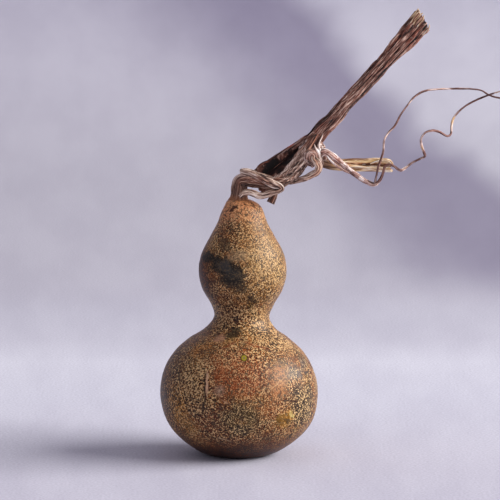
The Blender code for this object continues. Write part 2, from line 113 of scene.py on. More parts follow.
# Frayed fibres that stand up out of the vine's broken upper end.
FRAYED_FIBRES = (
    ((51, 4.8, 129.2, 0.5), (52.2, 4, 131, 0.5), (53.2, 3.4, 132.6, 0.4), (54.2, 3.3, 133.4, 0.25)),
    ((51.8, 4.8, 128.8, 0.6, 0.5), (52.9, 4, 130.6, 0.6, 0.5), (54, 3.3, 132, 0.5, 0.4), (55, 3.2, 132.9, 0.25)),
    ((53, 4.8, 128.2, 0.6, 0.5), (54.2, 3.8, 129.9, 0.6, 0.5), (55.1, 3.1, 131.2, 0.4), (55.4, 3.2, 132.2, 0.2)),
    ((55, 4.6, 126.2, 0.6, 0.5), (56.2, 3.6, 127.6, 0.6, 0.5), (56.9, 3, 128.6, 0.5, 0.4), (57, 3.3, 129.4, 0.25)),
)

# A curled lip at the broken end of the leaf stalk, and a strand that has split off the tendril's trunk.
STALK_LIP = (
    (39.4, -0.3, 88, 0.4), (41, -0.5, 88.7, 0.7, 0.6), (42.6, -0.6, 89.1, 0.8, 0.7), (44, -0.5, 89.2, 0.9, 0.7),
    (45.3, -0.2, 88.7, 0.9, 0.7), (45.9, 0, 87.8, 0.8, 0.6), (45.4, 0.2, 87.1, 0.5),
)
SPLIT_STRAND = (
    (26, -2.8, 91.2, 0.6), (26.6, -3.6, 90.3, 0.8, 0.7), (27.6, -4.1, 89.2, 0.8, 0.7), (29.3, -4.4, 87.8, 0.7, 0.6),
    (31.2, -4.6, 86.5, 0.7, 0.6), (33.2, -4.5, 85.6, 0.5),
)

# The vine's joint: which way it leans, then x, y, z of each round swelling, and its radii across the vine, through it
# and along it, in mm.
JOINT_AHEAD = (0.62, 0.0, 0.78)
JOINT_SWELLINGS = (
    (21.9, -0.7, 90.6, 2.5, 2.5, 2.9), (23.6, -0.2, 92.2, 1.8, 2.2, 2.6), (20.8, 0, 92.8, 2.3, 2.2, 3.2),
    (23.8, -1.2, 90.6, 1.4, 1.6, 1.7), (22, -1.3, 88.9, 1.6, 1.6, 1.5), (23.9, -2.2, 92, 0.8, 0.8, 0.9),
    (25.4, -1, 90, 1.1, 1.3, 1.2),
)
# Cords grown over the joint and up the vine: each a route as above.
JOINT_CORDS = (
    ((25.3, -0.7, 97.2, 0.3), (24.9, -1.1, 96.2, 0.5), (24.2, -1.6, 94.8, 0.8, 0.7), (23.8, -2, 93.4, 1, 0.9),
     (24.3, -2.5, 92, 1.2, 1), (24.7, -2.3, 90.6, 0.9, 0.8)),
    ((20, -2, 93.6, 0.5), (19.9, -2.6, 92.2, 0.9, 0.8), (19.7, -2.9, 90.6, 1, 0.9), (20.3, -3, 88.9, 1.1, 0.9),
     (21.4, -2.9, 87.7, 0.8, 0.7)),
    ((22.6, -2.2, 94, 0.5), (23, -2.7, 92.8, 1, 0.9), (24, -3, 91.4, 1.2, 1), (24.5, -3.2, 89.8, 1.2, 1),
     (24.9, -4.1, 88.2, 1, 0.9), (24.6, -4.4, 86.8, 0.6)),
)

# Long grooves in the vine: angle round it in degrees, where along it they start and end, half width, and depth.
VINE_GROOVES = (
    (142, 0.52, 1.06, 0.13, 0.5), (44, 0.58, 1.02, 0.06, 0.34), (158, 0.3, 0.68, 0.1, 0.45),
    (98, 0.62, 1.02, 0.06, 0.16), (74, 0.4, 0.72, 0.05, 0.14), (28, 0.34, 0.62, 0.06, 0.16),
    (112, 0.28, 0.55, 0.05, 0.12), (215, 0.35, 0.95, 0.09, 0.25), (262, 0.18, 0.7, 0.08, 0.22),
    (310, 0.45, 1.02, 0.1, 0.28), (338, 0.15, 0.5, 0.07, 0.2),
)


def smooth_step(low, high, value):
    """0 before low, 1 after high, and an even S between them."""
    share = min(1.0, max(0.0, (value - low) / (high - low)))
    return share * share * (3 - 2 * share)


def bump(value, centre, width):
    """1 at the centre, fading away evenly over about that width to each side."""
    return math.exp(-(((value - centre) / width) ** 2))


def off_centre(angle, degrees):
    """How far round the section an angle lies from a line at that many degrees, in radians."""
    return abs(math.remainder(angle - math.radians(degrees), math.tau))


def band(angle, degrees, width):
    """1 on a line at that many degrees round the section, fading away over about that width in radians."""
    return bump(off_centre(angle, degrees), 0.0, width)


def uneven(angle, count, level):
    """Unevenness round the section, -1 to 1: the higher the count, the more teeth it has."""
    return noise.noise(Vector((math.cos(angle) * count, math.sin(angle) * count, level)))


def slope_at(rows, knots, i):
    """The slope of each column at row i, from its neighbours."""
    before, after = max(i - 1, 0), min(i + 1, len(rows) - 1)
    if before == i or after == i:
        span = knots[after] - knots[before]
        return [(end - start) / span for start, end in zip(rows[before], rows[after])]
    first, second = knots[i] - knots[before], knots[after] - knots[i]
    return [
        ((b - a) / first * second + (c - b) / second * first) / (first + second)
        for a, b, c in zip(rows[before], rows[i], rows[after])
    ]


def spaced_rows(rows, count):
    """count rows evenly spaced along a smooth curve through the given rows, and the curve's length."""
    place = 3 if len(rows[0]) > 2 else 2
    knots = [0.0]
    for before, after in zip(rows, rows[1:]):
        knots.append(knots[-1] + math.dist(before[:place], after[:place]))
    slopes = [slope_at(rows, knots, i) for i in range(len(rows))]
    made, i = [], 0
    for n in range(count):
        at = knots[-1] * n / (count - 1)
        while i < len(rows) - 2 and at > knots[i + 1]:
            i += 1
        length = knots[i + 1] - knots[i]
        t = (at - knots[i]) / length
        start, end = 2 * t**3 - 3 * t**2 + 1, 3 * t**2 - 2 * t**3
        leave, arrive = (t**3 - 2 * t**2 + t) * length, (t**3 - t**2) * length
        made.append([
            start * a + end * b + leave * p + arrive * q
            for a, b, p, q in zip(rows[i], rows[i + 1], slopes[i], slopes[i + 1])
        ])
    return made, knots[-1]


def named(name):
    obj = bpy.context.object
    obj.name = obj.data.name = name
    return obj


def edit_all():
    bpy.ops.object.mode_set(mode="EDIT")
    bpy.ops.mesh.select_all(action="SELECT")


def extrude(move=(0, 0, 0)):
    bpy.ops.mesh.extrude_region_move(TRANSFORM_OT_translate={"value": move})


def sew_up(threshold):
    """Merges the doubled vertices, turns all faces outward and leaves edit mode."""
    bpy.ops.mesh.select_all(action="SELECT")
    bpy.ops.mesh.remove_doubles(threshold=threshold)
    bpy.ops.mesh.normals_make_consistent(inside=False)
    bpy.ops.object.mode_set(mode="OBJECT")


def pick(obj, wanted):
    """In edit mode, selects just the vertices whose place passes the test, with what lies between them."""
    bpy.ops.mesh.select_all(action="DESELECT")
    shape = bmesh.from_edit_mesh(obj.data)
    for vert in shape.verts:
        if wanted(vert.co):
            vert.select_set(True)
    shape.select_flush(True)
    bmesh.update_edit_mesh(obj.data)


def apply_modifier(obj, kind, **settings):
    modifier = obj.modifiers.new(kind.lower(), kind)
    for setting, value in settings.items():
        setattr(modifier, setting, value)
    bpy.ops.object.modifier_apply(modifier=modifier.name)


def new_marks(mesh, **kinds):
    """Adds marks to the mesh's vertices, and returns them once all are there."""
    for name, kind in kinds.items():
        mesh.attributes.new(name, kind, "POINT")
    return [mesh.attributes[name].data for name in kinds]


def join(parts):
    """Joins finished parts into the first of them."""
    bpy.ops.object.select_all(action="DESELECT")
    for part in parts:
        part.select_set(True)
    bpy.context.view_layer.objects.active = parts[0]
    bpy.ops.object.join()
    return parts[0]


# The fruit.

def lean_and_swell(angle, z):
    """How the fruit leaves its turned outline: a share of the radius, and a shift along X in mm."""
    belly, bulb = bump(z, BELLY_Z, 12), bump(z, BULB_Z, 8)
    swell = belly * (0.01 * math.cos(2 * angle + 0.9) + 0.007 * math.cos(3 * angle - 0.5))
    swell += bulb * (0.012 * math.cos(2 * angle - 0.4) + 0.006 * math.cos(5 * angle + 1.1))
    swell += 0.025 * max(0.0, math.cos(angle)) * bump(z, 8, 6)
    return swell, 1.2 * smooth_step(33, 46, z) - smooth_step(75.6, CROWN_Z, z)


def turn_fruit():
    """The outline is drawn from the crown to the foot, spun round its axis, leant, swollen and made uneven."""
    outline = spaced_rows(FRUIT_OUTLINE, FRUIT_RINGS)[0]
    rows = [(0.0, CROWN_Z), *reversed(outline), (0.0, 0.0)]
    bpy.ops.mesh.primitive_plane_add(size=MM, location=(0, 0, CROWN_Z * MM))
    fruit = named("gourd_rind")
    bpy.ops.object.transform_apply(location=True)
    edit_all()
    bpy.ops.mesh.merge(type="CENTER")
    for (r0, z0), (r1, z1) in zip(rows, rows[1:]):
        bpy.ops.mesh.extrude_vertices_move(TRANSFORM_OT_translate={"value": ((r1 - r0) * MM, 0, (z1 - z0) * MM)})
    bpy.ops.mesh.select_all(action="SELECT")
    bpy.ops.mesh.spin(steps=FRUIT_SIDES, angle=math.tau, center=(0, 0, 0), axis=(0, 0, 1))
    sew_up(1e-6)
    for vert in fruit.data.vertices:
        x, y, z = vert.co
        swell, shift = lean_and_swell(math.atan2(y, x), z / MM)
        vert.co = (x * (1 + swell) + shift * MM, y * (1 + swell), z)
    apply_modifier(fruit, "SUBSURF", levels=1, render_levels=1)
    rind = fruit.vertex_groups.new(name="rind")
    for vert in fruit.data.vertices:
        rind.add([vert.index], smooth_step(0.3 * MM, 3 * MM, vert.co.z), "REPLACE")
    for name, size, height in (("dents", 6.5, 0.3), ("pimples", 1.5, 0.07)):
        lumps = bpy.data.textures.new(name, "CLOUDS")
        lumps.noise_scale = size * MM
        lumps.noise_depth = 2
        apply_modifier(
            fruit, "DISPLACE", texture=lumps, texture_coords="LOCAL", strength=height * MM, mid_level=0.5,
            vertex_group="rind",
        )
    fruit.data.shade_smooth()
    return fruit


# Stems and tendrils. Each is grown as a straight shoot, one unit in length and radius, then laid along its route.
VIEWER = Vector((0, -1, 0))
HOLLOW_DEPTH = 0.035
# What lies farther from the shoot's middle than this is its skin, and the rest is its core.
SKIN_FROM = 0.96


def work_end(shoot, height, kind):
    """Closes the end of a straight shoot: flat, or bored hollow."""
    hollow = kind == "hollow"
    pick(shoot, lambda place: abs(place.z - height) < 1e-4)
    extrude()
    width = 0.72 if hollow else 0.6
    bpy.ops.transform.resize(value=(width, width, 1), center_override=(0, 0, height))
    if hollow:
        extrude((0, 0, HOLLOW_DEPTH if height < 0.5 else -HOLLOW_DEPTH))
    extrude()
    bpy.ops.transform.resize(value=(0.5, 0.5, 1), center_override=(0, 0, height))
    extrude()
    bpy.ops.mesh.merge(type="CENTER")


def finish_marks(mesh):
    """The marks that a finish reads: the place on the straight shoot in mm, the relief, and where the core shows."""
    return new_marks(mesh, straight="FLOAT_VECTOR", relief="FLOAT", core="FLOAT")


def comb(piece, ahead, size, height):
    """Furrows a finished piece lengthwise, and marks it so that its finish runs the same way."""
    ahead = Vector(ahead).normalized()
    side = VIEWER.cross(ahead)
    mesh = piece.data
    moved = []
    for vert, straight_mark, relief_mark, _ in zip(mesh.vertices, *finish_marks(mesh)):
        across, through, along = (vert.co.dot(axis) / MM for axis in (side, VIEWER, ahead))
        furrow = noise.noise(Vector((across, through, along * 0.22)) / size)
        furrow += 0.5 * noise.noise(Vector((across, through, along * 0.3)) / size * 2.3)
        straight_mark.vector = (across, through, along)
        relief_mark.value = furrow * 2.2
        moved.append(vert.co + vert.normal * furrow * height * MM)
    for vert, place in zip(mesh.vertices, moved):
        vert.co = place


def straight_shoot(name, sides, rings, fineness, near, far):
    """A shoot grown ring by ring from a circle, with both ends worked, then divided finer."""
    bpy.ops.mesh.primitive_circle_add(vertices=sides, radius=1, fill_type="NOTHING", location=(0, 0, 0))
    shoot = named(name)
    edit_all()
    for _ in range(rings):
        extrude((0, 0, 1 / rings))
    work_end(shoot, 1.0, far)
    work_end(shoot, 0.0, near)
    sew_up(1e-5)
    apply_modifier(shoot, "SUBSURF", subdivision_type="SIMPLE", levels=fineness, render_levels=fineness)
    return shoot


def wrinkle(angle, run, count, stretch, seed):
    """Lengthwise wrinkles, -1 to 1: the higher the count, the more of them round the shoot."""
    return 1.6 * noise.noise(Vector((math.cos(angle) * count, math.sin(angle) * count + seed, run * stretch + seed)))


def lay_along(shoot, rows, skin, tear):
    """Lays a straight shoot along its route. skin(angle, along, run) gives the radius as a share of the row's, and
    the relief to colour it by; tear(angle, along) moves its torn edges along it, in mm."""
    count = max(60, len(rows) * 12)
    stations, length = spaced_rows([(*row, row[3])[:5] for row in rows], count)
    points = [Vector(row[:3]) for row in stations]
    frames = []
    for i in range(count):
        along = (points[min(i + 1, count - 1)] - points[max(i - 1, 0)]).normalized()
        side = VIEWER.cross(along).normalized()
        frames.append((side, along.cross(side), along))
    girth = sum(row[3] + row[4] for row in stations) / count / 4
    mesh = shoot.data
    for vert, straight_mark, relief_mark, core_mark in zip(mesh.vertices, *finish_marks(mesh)):
        x, y, z = vert.co
        share, angle, z = math.hypot(x, y), math.atan2(y, x), min(max(z, 0.0), 1.0)
        core_mark.value = 0.0 if share > SKIN_FROM else 1.0
        share = 1.0 if share > SKIN_FROM else share
        i = min(int(z * (count - 1)), count - 2)
        t = z * (count - 1) - i
        row = [a + (b - a) * t for a, b in zip(stations[i], stations[i + 1])]
        side, front, ahead = (a.lerp(b, t) for a, b in zip(frames[i], frames[i + 1]))
        radius, depth = skin(angle, z, z * length)
        radius *= share
        place = Vector(row[:3]) + side * (row[3] / 2 * math.cos(angle) * radius)
        place += front * (row[4] / 2 * math.sin(angle) * radius)
        if tear:
            place += ahead * tear(angle, z) * (0.4 + 0.6 * share)
        vert.co = place * MM
        straight_mark.vector = (math.cos(angle) * girth * share, math.sin(angle) * girth * share, z * length)
        relief_mark.value = depth
    mesh.shade_smooth()
    return shoot


def vine_skin(angle, along, run):
    """Fibrous bark, torn open towards the viewer at the lower end, with long grooves up to the broken end."""
    ribs = 0.04 * (math.cos(6 * angle) - 1) + 0.03 * math.sin(10 * angle)
    fibre = 0.09 * wrinkle(angle, run, 1.5, 0.08, 3.1) + 0.09 * wrinkle(angle, run, 3.2, 0.16, 8.7)
    fine = 0.1 * wrinkle(angle, run, 5.6, 0.28, 5.3)
    half = 1.12 * (1 - smooth_step(0.12, 0.34, along)) + 0.05 * math.sin(run * 0.9) + 0.015 * math.sin(run * 2.7)
    open_here = smooth_step(half + 0.1, half - 0.1, off_centre(angle, 84)) * smooth_step(0.0, 0.15, half)
    torn = 0.8 * open_here * smooth_step(0.36, 0.26, along)
    cut = 0.0
    for degrees, start, end, width, depth in VINE_GROOVES:
        wander = 0.05 * math.sin(run * 0.45 + degrees)
        reach = smooth_step(start, start + 0.1, along) * smooth_step(end, end - 0.08, along)
        cut += depth * reach * band(angle - wander, degrees, width)
    depth = fibre * 6 + fine * 8 - torn * 1.8 - cut * 7
    return 1 + ribs + (fibre + fine) * (1 - 0.5 * open_here) - torn - min(cut, 0.55), depth


def vine_tear(angle, along):
    """The lower end is torn slanting; the upper one stands in splinters, the longest on its upper left side."""
    ragged = 1.5 * uneven(angle, 2.6, 4.0) + 0.9 * uneven(angle, 6.0, 9.0)
    spike = 0.8 * band(angle, 20, 0.16)
    lower = (-1.0 * math.cos(angle) - ragged * 0.8) * smooth_step(0.05, 0.0, along)
    slant = 0.9 * math.cos(angle) + 0.8 * math.sin(angle) - 0.3
    upper = (slant + ragged * 0.45 + spike) * smooth_step(0.95, 1.0, along)
    return lower + upper


def fruit_stem_skin(angle, along, run):
    """A twisted fibrous stem that spreads where it leaves the crown, with a knuckle on the outside of the fold."""
    twist = math.radians(300) * smooth_step(0.14, 0.9, along)
    turned = angle - twist
    ribs = 0.045 * math.cos(5 * turned)
    knuckle = 0.16 * bump(along, 0.21, 0.035) * max(0.0, math.cos(angle))
    fibre = 0.13 * wrinkle(turned, run, 1.7, 0.1, 2.2) + 0.15 * wrinkle(turned, run, 3.6, 0.16, 6.1)
    fine = 0.1 * wrinkle(turned, run, 5.6, 0.3, 1.7)
    calm = smooth_step(0.5, 4.5, run)
    return 1 + ribs + knuckle + (fibre + fine) * (0.35 + 0.65 * calm), ribs * 4 + (fibre * 6 + fine * 7)


def stub_skin(angle, along, run):
    split = 0.45 * band(angle, 100, 0.4) * smooth_step(0.3, 0.7, along)
    fibre = 0.1 * wrinkle(angle, run, 2.0, 0.2, 7.7) + 0.1 * wrinkle(angle, run, 4.0, 0.4, 3.9)
    return 1 + 0.1 * math.cos(4 * angle + 0.5) + fibre - split, fibre * 6 - split * 3


def leaf_stalk_skin(angle, along, run):
    """A ribbed straw, open towards the viewer near its broken end, with a lip along the opening."""
    ribs = 0.07 * math.cos(7 * angle) + 0.03 * math.cos(13 * angle)
    open_here = smooth_step(0.42, 0.75, along)
    split = 0.42 * open_here * band(angle, 84, 0.36)
    lip = 0.34 * smooth_step(0.66, 0.95, along) * band(angle, 40, 0.2)
    fibre = 0.1 * wrinkle(angle, run, 2.4, 0.1, 4.4) + 0.08 * wrinkle(angle, run, 5.0, 0.2, 6.6)
    return 1 + ribs + fibre + lip - split, ribs * 6 + fibre * 7 - split * 3.2 + lip * 2.5


def leaf_stalk_tear(angle, along):
    return (1.2 * uneven(angle, 3.0, 2.0) - 0.4 * math.cos(angle)) * smooth_step(0.93, 1.0, along)


def tendril_skin(seed, ribs=2, depth=0.12, turn=0.03):
    """A dried tendril: a few ribs that wind slowly round it, and fine wrinkles."""
    def skin(angle, along, run):
        wound = angle - run * turn * math.tau
        form = depth * math.cos(ribs * wound + seed) + 0.1 * wrinkle(wound, run, 1.8, 0.5, seed)
        knots = 0.1 * noise.noise(Vector((run * 0.45, seed, 0)))
        return 1 + form + knots, form * 8
    return skin


def clasping_skin(angle, along, run):
    """The winding tendril has dried into a bundle of strands with deep grooves between them."""
    wound = angle - run * 0.035 * math.tau
    strands = 0.3 * (abs(math.cos(1.5 * wound + 0.6)) - 0.6) + 0.06 * math.cos(7 * wound + 1.0)
    fibre = 0.12 * wrinkle(wound, run, 2.2, 0.25, 5.8)
    return 1 + strands + fibre, strands * 5 + fibre * 6


def grow(name, rows, skin, sides, rings, fineness=1, near="flat", far="flat", tear=None):
    """A stem laid along its route; near and far say how its ends are closed."""
    return lay_along(straight_shoot(name, sides, rings, fineness, near, far), rows, skin, tear)


def plain_strand(angle, along, run):
    fibre = 0.14 * wrinkle(angle, run, 1.5, 0.6, 1.3)
    return 1 + fibre, fibre * 3 + 0.6


def make_frayed_fibres():
    return join([grow("frayed_fibres", rows, tendril_skin(n * 1.3), 8, 16) for n, rows in enumerate(FRAYED_FIBRES)])


def make_joint():
    """The swellings of the joint are balls, pulled out along the vine, grown together and furrowed, with cords on."""
    lumps = []
    tilt = math.atan2(JOINT_AHEAD[0], JOINT_AHEAD[2])
    for x, y, z, across, through, along in JOINT_SWELLINGS:
        centre = (x * MM, y * MM, z * MM)
        bpy.ops.mesh.primitive_uv_sphere_add(segments=24, ring_count=14, radius=MM, location=centre)
        lumps.append(named("joint_bark"))
        edit_all()
        bpy.ops.transform.resize(value=(across, through, along))
        bpy.ops.transform.rotate(value=-tilt, orient_axis="Y", center_override=centre)
        bpy.ops.object.mode_set(mode="OBJECT")
    joint = join(lumps)
    bpy.ops.object.transform_apply(location=True, rotation=True, scale=True)
    apply_modifier(joint, "REMESH", mode="VOXEL", voxel_size=0.13 * MM)
    apply_modifier(joint, "SMOOTH", factor=0.8, iterations=14)
    comb(joint, JOINT_AHEAD, 0.75, 0.55)
    joint.data.shade_smooth()
    cords = [grow("cord", rows, tendril_skin(n * 1.7, depth=0.1), 10, 30) for n, rows in enumerate(JOINT_CORDS)]
    return join([joint, *cords])


def make_bud():
    """A strand curled up on itself on the front of the joint."""
    rows = []
    for step in range(19):
        turn = math.radians(200 - 40 * step)
        radius = 1.7 - 0.08 * step
        rows.append((
            21.9 + radius * 0.92 * math.cos(turn), -3.55 - 0.035 * step, 90.3 + radius * 1.12 * math.sin(turn),
            1.2 - 0.034 * step, 1.15 - 0.03 * step,
        ))
    return grow("curled_bud", rows, tendril_skin(2.4, 3, 0.08, 0.05), 10, 60)


def make_fruit_stem():
    stem = grow("fruit_stem_fibre", FRUIT_STEM, fruit_stem_skin, 24, 60, 2)
    stub = grow("stub", STUB, stub_skin, 16, 14, far="hollow")
    return join([stem, stub])


def make_leaf_stalk():
    stalk = grow("leaf_stalk_straw", LEAF_STALK, leaf_stalk_skin, 24, 40, 2, "flat", "hollow", leaf_stalk_tear)
    return join([stalk, grow("lip", STALK_LIP, tendril_skin(3.1), 10, 30)])


# How much of its width a tendril's thin branch has kept in drying.
DRIED_SHARE = 0.72


def make_forked_tendril():
    trunk = grow("forked_tendril_skin", TENDRIL_TRUNK, tendril_skin(1.0, turn=0.02), 14, 30)
    branches = []
    for name, rows, seed, rings in (("upper", TENDRIL_UPPER, 4.0, 120), ("lower", TENDRIL_LOWER, 7.0, 130)):
        thin = [(*row[:3], *(width * DRIED_SHARE for width in row[3:])) for row in rows]
        branches.append(grow(name, thin, tendril_skin(seed, turn=0.04), 8, rings))
    split = grow("split_strand", SPLIT_STRAND, plain_strand, 10, 24)
    return join([trunk, *branches, split])


# Finishes. Colours are given as they look on a screen.

def tone(red, green, blue):
    """A colour from its red, green and blue, 0 to 255, on a screen."""
    return tuple((value / 255) ** 2.2 for value in (red, green, blue)) + (1.0,)


class Finish:
    """A material built up from its coordinates to its shader."""

    def __init__(self, name, roughness=0.7):
        self.material = bpy.data.materials.new(name)
        self.material.use_nodes = True
        self.tree = self.material.node_tree
        self.shader = self.tree.nodes["Principled BSDF"]
        self.shader.inputs["Roughness"].default_value = roughness
        self.place = self.node("TexCoord").outputs["Object"]

    def node(self, kind, inputs=(), **settings):
        made = self.tree.nodes.new("ShaderNode" + kind)
        for setting, value in settings.items():
            setattr(made, setting, value)
        for socket, value in dict(inputs).items():
            if isinstance(value, bpy.types.NodeSocket):
                self.tree.links.new(value, made.inputs[socket])
            else:
                made.inputs[socket].default_value = value
        return made

    def attribute(self, name, output="Fac"):
        return self.node("Attribute", attribute_name=name).outputs[output]

    def axis(self, name):
        return self.node("SeparateXYZ", {0: self.place}).outputs[name]

    def vectors(self, operation, *values, output=0):
        return self.node("VectorMath", enumerate(values), operation=operation).outputs[output]

    def noise(self, size, vector=None, detail=2.0, roughness=0.5, distortion=0.0, output="Fac"):
        """Noise whose lumps are about that size, in the units of its vector."""
        inputs = {
            "Vector": self.place if vector is None else vector, "Scale": 1 / size, "Detail": detail,
            "Roughness": roughness, "Distortion": distortion,
        }
        return self.node("TexNoise", inputs).outputs[output]

    def grained(self, size, stretch, detail=2.0, roughness=0.5, distortion=0.0):
        """Noise about that many mm wide, drawn out along the straight shoot: the smaller the stretch, the longer."""
        drawn = self.vectors("MULTIPLY", self.attribute("straight", "Vector"), (1.0, 1.0, stretch))
        return self.noise(size, drawn, detail, roughness, distortion)

    def math(self, operation, *values):
        return self.node("Math", enumerate(values), operation=operation).outputs[0]

    def spread(self, value, low, high, to_low=0.0, to_high=1.0):
        inputs = {"Value": value, "From Min": low, "From Max": high, "To Min": to_low, "To Max": to_high}
        return self.node("MapRange", inputs, interpolation_type="SMOOTHSTEP").outputs[0]

    def mix(self, factor, first, second, blend="MIX"):
        inputs = {0: factor, 6: first, 7: second}
        return self.node("Mix", inputs, data_type="RGBA", blend_type=blend).outputs[2]

    def laid(self, under, over, cover, strength):
        """The colour over, laid on the one under where the cover is, at that strength."""
        return self.mix(self.math("MULTIPLY", cover, strength), under, over)

    def tinted(self, colour, *shade):
        return self.mix(1.0, colour, tone(*shade), "MULTIPLY")

    def ramp(self, value, *stops):
        """A colour for each value, blended between the stops."""
        made = self.node("ValToRGB", {"Fac": value})
        band = made.color_ramp
        while len(band.elements) < len(stops):
            band.elements.new(0.5)
        for element, (position, colour) in zip(band.elements, stops):
            element.position = position
            element.color = tone(*colour)
        return made.outputs["Color"]

    def patch(self, vector, centre, radii, turn, soft):
        """1 inside an ellipsoid round a place on the surface, given in mm, fading to 0 over its edge."""
        inputs = {
            "Vector": vector, "Location": Vector(centre) * MM, "Rotation": (0, math.radians(turn), 0),
            "Scale": Vector(radii) * MM,
        }
        local = self.node("Mapping", inputs, vector_type="TEXTURE").outputs[0]
        return self.spread(self.vectors("LENGTH", local, output="Value"), 1 + soft, 1 - soft)

    def bumped(self, height, distance, strength):
        inputs = {"Height": height, "Distance": distance, "Strength": strength}
        normal = self.node("Bump", inputs).outputs[0]
        self.tree.links.new(normal, self.shader.inputs["Normal"])

    def done(self, colour, roughness=None):
        self.tree.links.new(colour, self.shader.inputs["Base Color"])
        if roughness is not None:
            self.tree.links.new(roughness, self.shader.inputs["Roughness"])
        return self.material


# Stains of the rind, and a painted highlight: colour, strength, place in mm, radii in mm, turn in degrees and softness
# of the edge.
RIND_STAINS_AND_HIGHLIGHT = (
    ((255, 184, 138), 0.92, (0.2, 0, 75), (9, 9, 8.5), 0, 0.4),
    ((206, 158, 104), 0.7, (5.5, -8, 67), (6, 9, 8), 20, 0.5),
    ((214, 180, 124), 0.7, (8.8, -8, 57.5), (7, 9, 8), 0, 0.5),
    ((166, 116, 44), 0.9, (4.4, -11.9, 51.4), (8.5, 6, 3.4), 8, 0.45),
    ((206, 134, 54), 0.92, (-7.6, -9.4, 54), (4.8, 5, 1.7), 42, 0.45),
    ((196, 142, 72), 0.85, (-8.6, -7.4, 63.6), (3.2, 5, 1.8), -20, 0.45),
    ((196, 154, 96), 0.7, (-9.6, -7.2, 57.4), (1.4, 3, 1.3), 20, 0.45),
    ((112, 66, 42), 0.75, (-8.6, -7.6, 51.4), (2.8, 6, 4), 30, 0.4),
    ((112, 70, 46), 0.7, (-3.6, -7.5, 43.5), (6.5, 6, 3.6), 0, 0.45),
    ((206, 164, 112), 0.7, (7.6, -5, 41), (3.8, 5.5, 4.6), 0, 0.45),
    ((202, 156, 108), 0.75, (11.4, -8.4, 35.4), (8, 8, 2.4), 20, 0.45),
    ((210, 134, 50), 0.95, (-12.6, -12.6, 32.4), (6.8, 7, 2), -28, 0.5),
    ((96, 70, 46), 0.6, (-17, -10.4, 29.5), (4.5, 7, 3.4), -35, 0.45),
    ((146, 104, 58), 0.7, (-12.2, -18.6, 24.2), (5.6, 8, 9), 10, 0.4),
    ((224, 156, 44), 0.95, (-18.2, -14.2, 17), (2.8, 6, 5.4), -14, 0.5),
    ((206, 144, 48), 0.9, (-14.6, -17.2, 11.2), (2.6, 6, 2.2), 20, 0.5),
    ((184, 96, 54), 0.85, (-1, -20.6, 27.6), (9.5, 7, 8), 0, 0.45),
    ((142, 76, 48), 0.7, (-8.6, -20.6, 14), (5.5, 6, 4.6), 0, 0.45),
    ((96, 86, 50), 0.85, (0.6, -23, 14.4), (5.4, 5, 4.6), 0, 0.5),
    ((170, 116, 52), 0.85, (0.6, -22.8, 13.8), (1.4, 3, 1.2), 0, 0.5),
    ((66, 62, 54), 0.7, (0.8, -22, 11), (3.6, 3.5, 1.3), 0, 0.5),
    ((140, 78, 44), 0.7, (2.4, -18.8, 6.6), (10, 7, 2.8), 0, 0.45),
    ((78, 48, 32), 0.7, (0, -13, 2.6), (14, 9, 2.4), 0, 0.45),
    # Painted highlight: the next two paler patches on the belly's right stand for its soft highlight.
    ((208, 152, 108), 0.8, (12, -19, 25.6), (3.4, 6, 5.6), 35, 0.7),
    ((196, 124, 76), 0.6, (10.6, -20.4, 18), (3.6, 5, 3.6), -40, 0.6),
    ((196, 122, 66), 0.6, (17.6, -13, 30.2), (3.2, 5, 2), 40, 0.6),
    ((126, 122, 130), 0.8, (16.4, -13.8, 27), (2.6, 3.4, 1.6), 20, 0.55),
    ((112, 112, 122), 0.8, (19.2, -7.6, 28.4), (1.3, 4, 3.4), 28, 0.5),
    ((58, 50, 42), 0.85, (19.2, -12.8, 16.6), (4.4, 6.5, 6), 0, 0.45),
    ((196, 140, 36), 0.95, (14.1, -18, 13.6), (3.2, 3, 2.2), -8, 0.35),
    ((226, 140, 66), 0.85, (22.3, -7.2, 22.2), (0.7, 1.6, 1.3), 12, 0.4),
    ((188, 158, 148), 0.8, (-5.7, -22.4, 22.9), (1.3, 1.6, 1.3), 0, 0.6),
    ((196, 148, 128), 0.7, (-5, -11, 37), (1.7, 2.5, 1.4), 0, 0.5),
    ((140, 100, 56), 0.65, (6, 20, 24), (12, 8, 7), 20, 0.45),
    ((184, 128, 66), 0.65, (-14, 16, 20), (7, 7, 9), -12, 0.45),
    ((160, 90, 56), 0.65, (14, 15, 12), (8, 8, 6), 8, 0.45),
    ((180, 130, 64), 0.65, (-4, 11, 54), (8, 6, 6), 0, 0.45),
)
